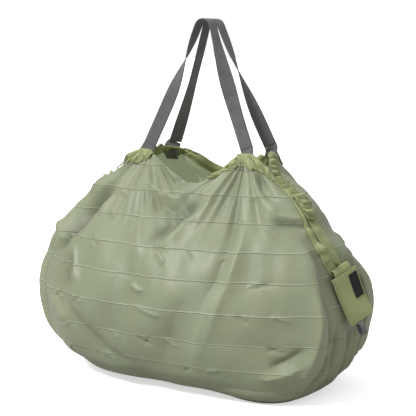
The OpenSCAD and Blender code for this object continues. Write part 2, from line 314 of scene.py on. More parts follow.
def base_surface(t, z):
    """The filled body without folds: (x, y, z) in millimetres."""
    c, s = np.cos(t), np.sin(t)
    front_right = smooth_curve(z, RINGS, 1)
    right = front_right + (smooth_curve(z, RINGS, 2) - front_right) * ease(s, -0.05, 0.3)
    left = smooth_curve(z, RINGS, 3)
    lifted = 1 - (1 - smooth_curve(z, LIFTED_FOOT)) * ease(-s, 0, 0.3) * (1 - ease(c, 0.1, 0.75))
    depth = smooth_curve(z, RINGS, 4) * lifted
    n = smooth_curve(z, RINGS, 5)
    length = left + (right - left) * ease(c, -0.2, 0.2)
    k = (np.abs(c) ** n + np.abs(s) ** n) ** (-1 / n)
    x, y = length * c * k, depth * s * k
    half = np.where((x > 0) & (y < 0), LABELLED_DIMPLE_HALF_WIDTH, DIMPLE_HALF_WIDTH)
    push = END_DIMPLE * smooth_curve(z, DIMPLE)
    push = np.where(c > 0, np.maximum(push - (front_right - right), 0), push)
    x = x - push * np.exp(-((np.abs(y) / half) ** 6)) * c
    return np.stack([x, y, z + 0 * t], -1)


def surface_normals(p):
    """Outward unit normals of a grid of points that closes on itself round the bag."""
    around = np.roll(p, -1, axis=1) - np.roll(p, 1, axis=1)
    around[:, 0] = p[:, 1] - p[:, -2]
    around[:, -1] = around[:, 0]
    up = np.gradient(p, axis=0)
    return unit(np.cross(around, up))


def pleats(z):
    """Accordion relief: creases stand in and out by turns."""
    index = np.arange(len(CREASES))
    turn = np.where(index % 2 == 0, 1.0, -1.0)
    return PLEAT_RELIEF * np.interp(z, CREASES, turn)


def fan(x, z, foot_x, foot_z, waves, reach):
    """Small gathers that spread from where a handle is sewn on."""
    dx, dz = x - foot_x, foot_z - z
    angle = np.degrees(np.arctan2(dx, np.maximum(dz, 1)))
    distance = np.hypot(dx, dz)
    gathers_round_foot = ripple(angle, waves, 9, 24)
    return gathers_round_foot * ease(distance, 0, 18) * (1 - ease(distance, reach * 0.35, reach))


def pinches():
    """Small random buckles that hang from the pressed creases, as lines with a half-width and a height."""
    out = []
    for _ in range(PINCHES):
        crease = CREASES[rng.integers(2, len(CREASES) - 2)]
        x = rng.uniform(-250, 250)
        length, drop = rng.uniform(14, 36), rng.uniform(5, 16)
        height = rng.uniform(1.2, 2.6) * rng.choice([-1, 1])
        lean = rng.choice([-1, 1])
        bend = rng.uniform(-3, 3)
        middle = (x + lean * length / 2, crease - drop / 2 + bend)
        line = [(x, crease + 1), middle, (x + lean * length, crease - drop)]
        out.append((line, rng.uniform(2.6, 4.2), height))
    return out


def listed_folds(x, y, z, front, back):
    """The folds of the three lists and the small buckles on the creases, in millimetres off the cloth."""
    off = np.zeros_like(x)
    for line, width, height in FRONT_FOLDS:
        off += front * stroke(x, z, line, width, height)
    for line, width, height in BACK_FOLDS:
        off += back * stroke(x, z, line, width, height)
    for side in (1, -1):
        near_end = ease(side * x, 190, 235)
        for line, width, height in END_FOLDS:
            off += near_end * stroke(side * y, z, line, width, height)
    for line, width, height in pinches():
        off += np.where(y < 0, front, back) * stroke(x * np.where(y < 0, 1, -1), z, line, width, height)
    return off


def ripples(x, z, front, back):
    """Gathers that spread from the handles' feet, fine upright ripples and long slanted ones."""
    off = np.zeros_like(x)
    for panel in (front, back):
        for foot in (-FOOT_X, FOOT_X):
            off += panel * 1.5 * fan(x, z, foot, 404, 6, 190)
    off += 0.5 * ripple(x + 0.15 * z, 7, 18, 60) * ease(z, 120, 250)
    off += 1.1 * ripple(x + 0.8 * z, 5, 90, 200) * ease(z, 40, 160)
    off += 0.7 * (ripple(0.7 * z - 0.7 * x, 5, 60, 140) + ripple(0.5 * z + 0.8 * x, 5, 50, 150))
    return off


def folds(p):
    """How far the cloth stands off the plain body along its normal, and its folds' share of that."""
    x, y, z = p[..., 0], p[..., 1], p[..., 2]
    high = ease(z, 230, 330)
    front = np.maximum(ease(-y, 15, 60), high * (y < 0))
    back = np.maximum(ease(y, 15, 60), high * (y >= 0))
    pressed = pleats(z) * (0.75 + 0.25 * ripple(x, 5, 90, 260))
    folded = listed_folds(x, y, z, front, back)
    off = pressed + folded + ripples(x, z, front, back)
    return off * ease(z, 0, 30), folded


def draw_mouth_shut(p, t, below_rim):
    """Pulls the back rim forward at each end of the mouth, so that its gathered hem meets the front rim.

    The cloth below it puffs up behind the closed mouth.
    """
    from_end = 90 - np.abs(90 - np.degrees(t) % 180)
    share = ease(from_end, 2, 10) * (1 - ease(from_end, 38, 60)) * (np.sin(t) > 0)
    below = np.clip(below_rim / DRAWN_CLOTH, 0, 1)
    front_rim = p[-1:, ::-1] + [0, DRAWN_GAP, -2]
    pull = (front_rim - p[-1:]) * ((1 - below) ** 1.5 * share)[..., None]
    puff = PUFF * share * np.sin(math.pi * below ** 0.7) ** 2
    outward = np.where(np.cos(t) > 0, 1, -1)
    p = p + pull
    p[..., 0] += 0.8 * puff * outward
    p[..., 1] += 0.3 * puff
    p[..., 2] += 0.7 * puff
    return p


def turn(axis, degrees):
    """Rotation matrix about X, Y or Z."""
    a = math.radians(degrees)
    c, s = math.cos(a), math.sin(a)
    return np.array({
        "X": [[1, 0, 0], [0, c, -s], [0, s, c]],
        "Y": [[c, 0, s], [0, 1, 0], [-s, 0, c]],
        "Z": [[c, -s, 0], [s, c, 0], [0, 0, 1]],
    }[axis])


TABS = {
    "right": (np.array([262, -8, 211]), turn("Z", -20) @ turn("Y", -12) @ turn("X", 18), 1),
    "left": (np.array([257.5, 0, 211]), turn("Y", -12), -1),
}


def tab_place(which, points):
    """Row-frame points of points given on a tab: X out of it, Y across it, Z up along it."""
    hinge, matrix, side = TABS[which]
    return (np.asarray(points, float) @ matrix.T + hinge) * [side, 1, 1]


def clear_the_tabs(p):
    """Presses the cloth in behind each end tab, so that the tab lies on it, hanging or lifted right up."""
    for which, (hinge, matrix, side) in TABS.items():
        reach_down = TAB_LENGTH + (LOOP_REACH if which == "right" else 2)
        same_end = side * p[..., 0] > 150
        for lift, clearance, inwards in ((0, TAB_CLEARANCE, -1), (TAB_LIFT, LIFTED_TAB_CLEARANCE, 1)):
            axes = matrix @ turn("Y", -lift)
            local = (p * [side, 1, 1] - hinge) @ axes
            beyond_y = np.maximum(np.abs(local[..., 1]) - TAB_WIDTH / 2 - 2, 0)
            beyond_z = np.maximum(-local[..., 2] - reach_down, 0) + np.maximum(local[..., 2] - 2, 0) * 3
            nearness = 1 - ease(np.hypot(beyond_y, beyond_z), 0, 26)
            push = np.maximum(clearance - inwards * local[..., 0], 0) * nearness * same_end
            p = p + inwards * ((push[..., None] * axes[:, 0]) * [side, 1, 1])
            reach_down = TAB_LENGTH
    return p


def body_grid():
    """(rows, columns, 3) points of the outer cloth, and how far the listed folds alone stand off it at each.
    """
    t = np.linspace(0, 2 * math.pi, COLUMNS + 1)[None, :]
    share = np.linspace(0, 1, ROWS + 1)[:, None]
    z = share * rim_height(t)
    plain = draw_mouth_shut(base_surface(t + 0 * z, z), t, z[-1:] - z)
    out = surface_normals(plain)
    stand, depth_of_folds = folds(plain)
    return clear_the_tabs(plain + out * stand[..., None]), depth_of_folds


# ---- meshes

def grid_faces(rows, columns, first=0):
    """Faces of a grid of points, in rows one point longer than columns."""
    i, j = np.meshgrid(np.arange(rows), np.arange(columns), indexing="ij")
    a = first + i * (columns + 1) + j
    return np.stack([a, a + 1, a + columns + 2, a + columns + 1], -1).reshape(-1, 4)


def tube_faces(rings, count):
    """Side faces of a tube made of rings of count points."""
    ring, corner = np.meshgrid(np.arange(rings - 1), np.arange(count), indexing="ij")
    a = ring * count + corner
    b = ring * count + (corner + 1) % count
    return np.stack([a, b, b + count, a + count], -1).reshape(-1, 4)


def border_faces(rows, columns):
    """Faces that join the edges of two equal grids of points, one listed after the other."""
    width = columns + 1
    half = width * (rows + 1)
    border = (
        list(range(width)) + [width - 1 + width * k for k in range(1, rows + 1)]
        + [rows * width + k for k in range(width - 2, -1, -1)] + [width * k for k in range(rows - 1, 0, -1)]
    )
    return np.array([(b, a, a + half, b + half) for a, b in zip(border, border[1:] + border[:1])])


def add_object(name, data):
    """A new object in the scene."""
    obj = bpy.data.objects.new(name, data)
    bpy.context.scene.collection.objects.link(obj)
    return obj


def make_object(name, points, faces, material, attributes=None):
    """A mesh object from points in millimetres."""
    mesh = bpy.data.meshes.new(name)
    corners = [list(map(int, face)) for face in faces] if isinstance(faces, list) else faces.tolist()
    mesh.from_pydata((np.asarray(points, float).reshape(-1, 3) * MM).tolist(), [], corners)
    mesh.update()
    mesh.shade_smooth()
    for key, values in (attributes or {}).items():
        layer = mesh.attributes.new(key, "FLOAT", "POINT")
        layer.data.foreach_set("value", np.asarray(values, np.float32).ravel())
    for m in material if isinstance(material, list) else [material]:
        mesh.materials.append(m)
    return add_object(name, mesh)


def patch_object(name, points, material, thickness, attributes=None, inner_material=0):
    """An object from a grid of points, thickened inwards."""
    rows, columns = points.shape[0] - 1, points.shape[1] - 1
    obj = make_object(name, points, grid_faces(rows, columns), material, attributes)
    solid = obj.modifiers.new("thickness", "SOLIDIFY")
    solid.thickness = thickness * MM
    solid.offset = -1.0
    solid.use_even_offset = False
    solid.material_offset = inner_material
    return obj


def belongs(obj, body, replaced=None):
    """Hangs a piece on its body's empty, and hides the CAD node it stands for, if any."""
    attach(obj, body)
    if replaced:
        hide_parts(replaced)


# ---- materials

class Nodes:
    """Short forms for building a material's node tree."""

    def __init__(self, name):
        self.material = bpy.data.materials.new(name)
        self.material.use_nodes = True
        self.tree = self.material.node_tree
        self.shader = self.tree.nodes["Principled BSDF"]

    def add(self, kind, **values):
        node = self.tree.nodes.new(kind)
        for key, value in values.items():
            if key in node.inputs:
                node.inputs[key].default_value = value
            else:
                setattr(node, key, value)
        return node

    def set(self, **values):
        """Sets the shader's inputs; an underscore stands for a space."""
        for key, value in values.items():
            self.shader.inputs[key.replace("_", " ")].default_value = value

    def link(self, out, into):
        self.tree.links.new(out, into)

    def math(self, operation, a, b=None, clamp=False):
        node = self.tree.nodes.new("ShaderNodeMath")
        node.operation = operation
        node.use_clamp = clamp
        for k, value in enumerate([a, b]):
            if value is None:
                continue
            if isinstance(value, (int, float)):
                node.inputs[k].default_value = value
            else:
                self.link(value, node.inputs[k])
        return node.outputs[0]

    def coordinates(self):
        return self.add("ShaderNodeTexCoord").outputs["Object"]

    def attribute(self, name):
        return self.add("ShaderNodeAttribute", attribute_name=name).outputs["Fac"]

    def noise(self, scale, detail, rough, vector, distortion=0.0):
        node = self.add("ShaderNodeTexNoise", Scale=scale, Detail=detail, Roughness=rough)
        node.inputs["Distortion"].default_value = distortion
        self.link(vector, node.inputs["Vector"])
        return node.outputs["Fac"]

    def mix(self, factor, a, b):
        """a where the factor is 0, b where it is 1."""
        node = self.tree.nodes.new("ShaderNodeMix")
        node.data_type = "RGBA"
        for socket, value in ((node.inputs[0], factor), (node.inputs[6], a), (node.inputs[7], b)):
            if isinstance(value, (tuple, float, int)):
                socket.default_value = value
            else:
                self.link(value, socket)
        return node.outputs[2]

    def bump(self, height, distance, strength=1.0, normal=None):
        node = self.add("ShaderNodeBump", Strength=strength, Distance=distance)
        self.link(height, node.inputs["Height"])
        if normal is not None:
            self.link(normal, node.inputs["Normal"])
        return node.outputs["Normal"]


def srgb(r, g, b):
    """A linear colour from 0-255 values."""
    def channel(v):
        v /= 255
        return v / 12.92 if v <= 0.04045 else ((v + 0.055) / 1.055) ** 2.4
    return (channel(r), channel(g), channel(b), 1.0)


STREAK = srgb(152, 164, 140)
# Painted highlight and painted shade for the lines along the pressed creases.
CREASE_PAINTED_HIGHLIGHT = srgb(198, 204, 180)
CREASE_PAINTED_SHADE = srgb(96, 102, 78)
# Painted shade for the bottoms of folds and of ruffles.
HOLLOW_PAINTED_SHADE = srgb(52, 56, 38)


def facet_relief(n, place, normal):
    """Flat facets with soft edges between them, as in thin cloth that was folded up small."""
    facets = n.add("ShaderNodeTexVoronoi", feature="DISTANCE_TO_EDGE", Scale=13.0)
    warped = n.add("ShaderNodeVectorMath", operation="ADD")
    warp = n.add("ShaderNodeTexNoise", Scale=7.0, Detail=2.0)
    scaled = n.add("ShaderNodeVectorMath", operation="SCALE")
    scaled.inputs["Scale"].default_value = 0.12
    n.link(place, warp.inputs["Vector"])
    n.link(warp.outputs["Color"], scaled.inputs[0])
    n.link(place, warped.inputs[0])
    n.link(scaled.outputs[0], warped.inputs[1])
    n.link(warped.outputs[0], facets.inputs["Vector"])
    edges = n.math("MULTIPLY", facets.outputs["Distance"], n.noise(5.0, 2.0, 0.5, place))
    return n.bump(edges, 0.010, 0.28, normal)


def line_beside_crease(n, from_crease, shift, half_width):
    """A soft line 1 in its middle and 0 beside it, at a small shift from the pressed crease."""
    away = n.math("ABSOLUTE", n.math("ADD", from_crease, shift))
    return n.math("SUBTRACT", 1.0, n.math("DIVIDE", away, half_width), True)


def pressed_creases(n, place, colour, normal):
    """Upright streaks, and along each pleat's crease a painted highlight with a painted shade line beside it.
    """
    wobble = n.math("MULTIPLY", n.math("SUBTRACT", n.noise(9.0, 3.0, 0.6, place), 0.5), 0.10)
    place_in_band = n.math("FRACT", n.math("ADD", n.math("ADD", n.attribute("pleat"), wobble), 0.5))
    from_crease = n.math("SUBTRACT", place_in_band, 0.5)
    crease_painted_highlight = line_beside_crease(n, from_crease, -0.018, 0.028)
    shade = line_beside_crease(n, from_crease, 0.016, 0.020)
    # Random strength of the painted crease highlight and shade.
    painted_line_strength = n.math("MULTIPLY", n.noise(16.0, 3.0, 0.6, place), 1.3, True)
    streak_place = n.add("ShaderNodeMapping", Scale=(34.0, 34.0, 2.2))
    n.link(place, streak_place.inputs["Vector"])
    streaks = n.noise(1.0, 3.0, 0.55, streak_place.outputs["Vector"])
    streaks = n.math("MULTIPLY", n.math("SUBTRACT", streaks, 0.42), 1.5, True)
    colour = n.mix(streaks, colour, STREAK)
    colour = n.mix(n.math("MULTIPLY", crease_painted_highlight, n.math("MULTIPLY", painted_line_strength, 0.95)), colour, CREASE_PAINTED_HIGHLIGHT)
    colour = n.mix(n.math("MULTIPLY", shade, n.math("MULTIPLY", painted_line_strength, 0.42)), colour, CREASE_PAINTED_SHADE)
    return colour, n.bump(n.math("SUBTRACT", crease_painted_highlight, shade), 0.0010, 0.7, normal)


def shaded_folds(n, colour, light):
    """Painted shade in the bottoms of folds and a painted highlight on their ridges, by the depth stored on
    the mesh.
    """
    ridge_painted_highlight = tuple(min(1.0, 1.25 * c) for c in light[:3]) + (1.0,)
    colour = n.mix(n.math("MULTIPLY", n.attribute("painted_shade_and_highlight"), 0.75, True), colour, HOLLOW_PAINTED_SHADE)
    return n.mix(n.math("MULTIPLY", n.attribute("painted_shade_and_highlight"), -0.7, True), colour, ridge_painted_highlight)


def coated_cloth(name, light, dark, roughness, creased=False, painted_glow=0.0):
    """Thin coated polyester: fine weave, soft crinkles, painted shade and highlight by the folds' depth,
    pressed crease lines painted as highlight and shade where asked, and a painted glow where asked.
    """
    n = Nodes(name)
    place = n.coordinates()
    patches = n.noise(6.0, 4.0, 0.55, place)
    fine = n.noise(420.0, 2.0, 0.5, place)
    tone = n.math("ADD", n.math("MULTIPLY", patches, 0.8), n.math("MULTIPLY", fine, 0.2))
    colour = n.mix(tone, dark, light)
    crinkle = n.noise(34.0, 5.0, 0.55, place, 0.6)
    weave = n.noise(1500.0, 1.0, 0.5, place)
    normal = n.bump(weave, 0.0002, 0.5)
    normal = n.bump(crinkle, 0.0020, 0.45, normal)
    normal = facet_relief(n, place, normal)
    if creased:
        colour, normal = pressed_creases(n, place, colour, normal)
    n.link(shaded_folds(n, colour, light), n.shader.inputs["Base Color"])
    n.link(normal, n.shader.inputs["Normal"])
    rough = n.math("ADD", roughness - 0.06, n.math("MULTIPLY", patches, 0.14))
    n.link(rough, n.shader.inputs["Roughness"])
    n.set(Specular_IOR_Level=0.4, Sheen_Weight=0.15, Sheen_Roughness=0.5)
    # Painted glow: the material shines by itself, standing in for light that comes through the thin cloth.
    n.set(Emission_Color=light, Emission_Strength=painted_glow)
    return n.material


def webbing_material():
    """Grey woven webbing: fine ribs along it, crossed by the weft."""
    n = Nodes("webbing_grey")
    along, across = n.attribute("along"), n.attribute("across")
    warp = n.math("SINE", n.math("MULTIPLY", across, 2 * math.pi / 1.25))
    weft = n.math("SINE", n.math("MULTIPLY", along, 2 * math.pi / 1.6))
    woven = n.math("MULTIPLY", warp, weft)
    place = n.coordinates()
    blotch = n.noise(60.0, 3.0, 0.6, place)
    tone = n.math("ADD", n.math("MULTIPLY", woven, 0.16), n.math("MULTIPLY", blotch, 0.9), True)
    colour = n.mix(tone, srgb(91, 89, 92), srgb(134, 130, 133))
    n.link(colour, n.shader.inputs["Base Color"])
    n.link(n.bump(woven, 0.0006, 0.7), n.shader.inputs["Normal"])
    n.set(Roughness=0.72, Sheen_Weight=0.3)
    return n.material


def plain_material(name, light, dark, roughness, scale):
    """A matt material of two close shades with a fine grain."""
    n = Nodes(name)
    place = n.coordinates()
    grain = n.noise(scale, 3.0, 0.6, place)
    n.link(n.mix(grain, dark, light), n.shader.inputs["Base Color"])
    n.link(n.bump(grain, 0.0003, 0.6), n.shader.inputs["Normal"])
    n.set(Roughness=roughness)
    return n.material


CLOTH = coated_cloth("sage_cloth", srgb(157, 164, 133), srgb(139, 146, 115), 0.44, creased=True)
# The inner face: the same cloth painted lighter and given a painted glow, standing in for light that comes in
# at the mouth and through the thin cloth.
CLOTH_INSIDE_PAINTED_LIGHTER = coated_cloth(
    "sage_cloth_inside_painted_lighter", srgb(176, 184, 154), srgb(150, 160, 128), 0.6, painted_glow=0.28
)
FACING = coated_cloth("yellow_green_facing", srgb(172, 178, 128), srgb(150, 157, 108), 0.55)
TAB_CLOTH = coated_cloth("yellow_green_tab", srgb(170, 177, 124), srgb(150, 157, 106), 0.6)
WEBBING = webbing_material()
THREAD = plain_material("thread", srgb(120, 126, 92), srgb(88, 94, 66), 0.8, 900.0)
DARK_THREAD = plain_material("dark_thread", srgb(84, 82, 84), srgb(56, 55, 57), 0.8, 900.0)
LABEL = plain_material("woven_label_black", srgb(34, 33, 36), srgb(18, 18, 20), 0.7, 1400.0)
ELASTIC = plain_material("grey_elastic", srgb(128, 126, 130), srgb(96, 94, 98), 0.75, 800.0)


# ---- body cloth

grid, fold_depth = body_grid()
grid_normals = surface_normals(grid)
pleat_count = np.interp(grid[..., 2], CREASES, np.arange(len(CREASES)))
# Painted shade in the bottoms of the listed folds, and a painted highlight where they stand out, stored on
# the mesh.
painted_shade_and_highlight = np.clip(-fold_depth / FULL_HOLLOW, -0.5, 1)

COLUMN_OF = {"back": (0, COLUMNS // 2), "front": (COLUMNS // 2, COLUMNS)}


def make_panel(name, side):
    columns = slice(COLUMN_OF[side][0], COLUMN_OF[side][1] + 1)
    values = {"pleat": pleat_count[:, columns], "painted_shade_and_highlight": painted_shade_and_highlight[:, columns]}
    faces = [CLOTH, CLOTH_INSIDE_PAINTED_LIGHTER]
    obj = patch_object(name, grid[:, columns], faces, CLOTH_THICKNESS, values, inner_material=1)
    belongs(obj, "bag", name.replace("_cloth", ""))


def make_bottom():
    """Base cloth, gently crowned so that it meets the floor as fabric does."""
    edge = grid[0, :-1]
    rings = []
    for share in np.linspace(1, 0.02, 24):
        ring = edge * share
        lift = 1.2 * np.sin(ring[:, 0] / 23 + 1) * np.sin(ring[:, 1] / 17) * ease(1 - share, 0.02, 0.3)
        ring[:, 2] = BASE_LIFT + lift
        rings.append(ring)
    faces = tube_faces(len(rings), len(edge))[:, [0, 3, 2, 1]]
    obj = make_object("bottom_panel_cloth", np.concatenate(rings), faces, CLOTH_INSIDE_PAINTED_LIGHTER)
    belongs(obj, "bag", "bottom_panel")


make_panel("front_panel_cloth", "front")
make_panel("back_panel_cloth", "back")
make_bottom()


# ---- handles

def webbing_ribbon(name, path, across):
    """A flat strap with rounded edges along a path, turned by the across vectors."""
    path = np.asarray(path, float)
    along = unit(np.gradient(path, axis=0))
    across = unit(across - along * np.sum(across * along, -1, keepdims=True))
    face = np.cross(along, across)
    half, edge = WEBBING_WIDTH / 2, WEBBING_THICKNESS / 2
    outline = []
    for side in (1, -1):
        for k in range(5):
            turn = math.pi / 2 * (1 - k / 2)
            outline.append((side * (half - edge + edge * math.cos(turn)), side * edge * math.sin(turn)))
        for share in (0.66, 0.33, 0.0, -0.33, -0.66):
            outline.append((side * (half - edge) * share, -side * edge))
    outline = np.array(outline)
    points = path[:, None] + across[:, None] * outline[None, :, :1] + face[:, None] * outline[None, :, 1:]
    distance = distances(path)
    count = len(outline)
    faces = tube_faces(len(path), count).tolist()
    faces.append(list(range(count))[::-1])
    faces.append([(len(path) - 1) * count + k for k in range(count)])
    values = {"along": np.repeat(distance, count), "across": np.tile(outline[:, 0], len(path))}
    return make_object(name, points, faces, WEBBING, attributes=values)


def handle_path(side):
    """Centre line of a handle from its left foot to its right foot, and the direction across its width."""
    steps = 60
    bend_z = HANDLE_TOP - WEBBING_THICKNESS - BEND
    share = np.linspace(0, 1, steps)[:, None]
    foot = np.array([-FOOT_X, -HINGE_Y * side, HINGE_Z])
    reach = math.hypot(FOOT_X, bend_z - HINGE_Z)
    lean = math.atan2(bend_z - HINGE_Z, FOOT_X) + math.asin(BEND / reach)
    top = np.array([-BEND * math.sin(lean), -HANDLE_TOP_Y * side, bend_z + BEND * math.cos(lean)])
    leg = foot + (top - foot) * share
    bow = np.sin(math.pi * share[:, 0]) * 3.0
    leg[:, 0] += bow
    turn = np.linspace(math.pi / 2 + lean, math.pi / 2 - lean, 26)[1:-1]
    arc_y = np.full(len(turn), -HANDLE_TOP_Y * side)
    arc = np.stack([BEND * np.cos(turn), arc_y, bend_z + BEND * np.sin(turn)], -1)
    right = leg[::-1] * [-1, 1, 1]
    path = np.concatenate([leg, arc, right])
    along = unit(np.gradient(path, axis=0))
    flat = unit(np.cross([0, 1, 0], along))
    deep = np.cross(along, flat)
    angle = np.full(len(path), 90.0)
    if side > 0:
        twist_left = 90 * ease(share[:, 0], 0.35, 0.95)
        twist_right = 90 * ease(share[:, 0], 0.2, 0.95)
    else:
        twist_left = 58 + 32 * ease(share[:, 0], 0.0, 0.6)
        twist_right = 90 * ease(share[:, 0], 0.15, 0.9)
    angle[:steps] = twist_left
    angle[-steps:] = twist_right[::-1]
    angle = np.radians(angle)[:, None] * side
    return path, flat * np.cos(angle) - deep * np.sin(angle)


def make_handle(name, side):
    path, across = handle_path(side)
    obj = webbing_ribbon(name + "_webbing", path, across)
    belongs(obj, name + "_loop", name)


STITCH_SPACING, STITCH_LENGTH, STITCH_WIDTH = 3.2, 2.2, 0.55
STITCH_CORNERS = 6
# Places along a stitch, and how full it is there.
STITCH_RINGS = [(-0.5, 0.4), (-0.3, 1.0), (0.3, 1.0), (0.5, 0.4)]


def thread_object(name, lines, place, material):
    """Raised stitches along lines of two-dimensional points; place(u, v, rise) puts a point on the piece."""
    points, faces = [], []
    for line in lines:
        line = np.array(line, float)
        for start, end in zip(line[:-1], line[1:]):
            total = np.linalg.norm(end - start)
            along = (end - start) / total
            across = np.array([-along[1], along[0]])
            for k in range(int(total / STITCH_SPACING)):
                middle = start + along * STITCH_SPACING * (k + 0.5)
                first = len(points)
                for share, fullness in STITCH_RINGS:
                    for corner in range(STITCH_CORNERS):
                        a = 2 * math.pi / STITCH_CORNERS * corner
                        radius = STITCH_WIDTH / 2 * fullness
                        u, v = middle + along * STITCH_LENGTH * share + across * radius * math.cos(a)
                        points.append(place(u, v, 0.9 * radius * math.sin(a)))
                faces.extend((first + tube_faces(len(STITCH_RINGS), STITCH_CORNERS)).tolist())
                faces.append([first + corner for corner in reversed(range(STITCH_CORNERS))])
                faces.append([len(points) - STITCH_CORNERS + corner for corner in range(STITCH_CORNERS)])
    obj = make_object(name, points, faces, material)
    return obj


def cloth_reach(side, x, z):
    """How far from the middle plane the cloth stands at given heights, below a handle's foot."""
    columns = np.arange(*COLUMN_OF["front" if side > 0 else "back"])
    column = columns[np.argmin(np.abs(grid[-1, columns, 0] - x))]
    return np.abs(np.interp(z, grid[:, column, 2], grid[:, column, 1]))


def make_crossed_stitches(name, path, side):
    """A sewn box with a cross in it, on the inner face of a handle's end."""
    down_run = np.linspace(0, SEWN_LENGTH, len(path))
    half, top, foot = 9, 12, 30

    def at_surface(u, v, rise):
        middle = [np.interp(v, down_run, path[:, axis]) for axis in range(3)]
        return np.array(middle) + [u, side * (1.1 + rise), 0]

    box = [(-half, top), (half, top), (half, foot), (-half, foot), (-half, top)]
    cross = [[(-half, top), (half, foot)], [(half, top), (-half, foot)]]
    return thread_object(name, [box] + cross, at_surface, DARK_THREAD)


def make_handle_ends(name, side):
    """The sewn lengths of webbing inside the rim, below the handle's hinge line."""
    lean = math.radians(SEWN_LEAN)
    across_above = handle_path(side)[1]
    stitches = []
    for label, foot, foot_across in (("left", -1, across_above[0]), ("right", 1, across_above[-1])):
        share = np.linspace(0, 1, 14)[:, None]
        top = np.array([foot * FOOT_X, -HINGE_Y * side, HINGE_Z])
        down = np.array([0, -math.sin(lean) * side, -math.cos(lean)])
        path = top + down * SEWN_LENGTH * share
        path[:, 0] += foot * SEWN_SPREAD * (1 - (1 - share[:, 0]) ** 2)
        within = (cloth_reach(side, foot * FOOT_X, path[:, 2]) - SEWN_GAP) * -side
        path[:, 1] += (within - path[:, 1]) * ease(share[:, 0], 0, 0.45)
        flat = np.array([math.copysign(1.0, foot_across[0]), 0, 0])
        across = foot_across * (1 - share) + flat * share
        webbing = webbing_ribbon(f"{name}_{label}", path, across)
        belongs(webbing, "bag", name if label == "left" else None)
        stitches.append(make_crossed_stitches(f"{name}_{label}_stitches", path, side))
        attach(stitches[-1], "bag")
    return stitches


make_handle("front_handle", 1)
make_handle("back_handle", -1)
front_stitches = make_handle_ends("front_handle_ends", 1)
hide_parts("handle_stitching")
make_handle_ends("back_handle_ends", -1)


# ---- bands of the mouth

def rim_band(angles, depth, stand, rows, ruffle):
    """Points of a band along the mouth's edge, and its painted shade by how deep each lies in the ruffles.

    angles are its two ends in degrees, depth holds points (x, depth below the edge), stand(share) is how far
    it stands off the cloth, and ruffle(run, share) an extra offset by the distance run along the edge.
    """
    first, last = (round(angle * COLUMNS / 360) for angle in angles)
    columns = np.arange(first, last + 1)
    edge = grid[-1, columns % COLUMNS]
    depths = np.maximum(np.interp(edge[:, 0], *np.transpose(depth)), 0.5)
    run_along = distances(edge)
    share = np.linspace(0, 1, rows + 1)
    out = np.empty((rows + 1, len(columns), 3))
    shade = np.zeros((rows + 1, len(columns)))
    for k, c in enumerate(columns):
        column = grid[::-1, c % COLUMNS]
        away = grid_normals[::-1, c % COLUMNS]
        below = distances(column)
        offset = stand(share)
        if ruffle is not None:
            waves = ruffle(run_along[k], share)
            offset = offset + waves
            # Painted shade in the ruffles' hollows, and a painted highlight on their crests.
            shade[:, k] = np.clip(-waves / FULL_RUFFLE, -0.5, 1)
        for axis in range(3):
            out[:, k, axis] = np.interp(share * depths[k], below, column[:, axis])
            out[:, k, axis] += np.interp(share * depths[k], below, away[:, axis]) * offset
    return out[::-1], shade[::-1]


def make_band(name, angles, depth, stand, rows, ruffle, replaced):
    points, shade = rim_band(angles, depth, stand, rows, ruffle)
    obj = patch_object(name, points, FACING, FACING_THICKNESS, {"painted_shade_and_highlight": shade})
    belongs(obj, "bag", replaced)


def flared(band, end_flare):
    """A band's offsets, plus a flare at its first end."""
    return lambda run, share: band(run, share) + end_flare * math.exp(-run / 12) * share


def inside(share):
    """Offset of a band on the inner face of the cloth."""
    return -1.9 - 0.6 * np.sin(share * math.pi)


def turned_out(share):
    """Offset of a band that is turned out over the edge."""
    return 1.2 + 2.2 * np.sin(share * math.pi) ** 0.7


def gathers(seed, amplitude, shortest, longest):
    """Irregular ruffles along a band, strongest between its edges."""
    waves = np.random.default_rng(seed)
    lengths = shortest + (longest - shortest) * waves.random(7)
    phases = waves.random((7, 2)) * 2 * math.pi

    def offset(run, share):
        total = sum(
            np.sin(2 * math.pi * run / length + a + 1.6 * np.sin(share * 3 + b))
            for length, (a, b) in zip(lengths, phases)
        )
        return amplitude * total / 2 * (0.35 + 0.65 * np.sin(share * math.pi))

    return offset


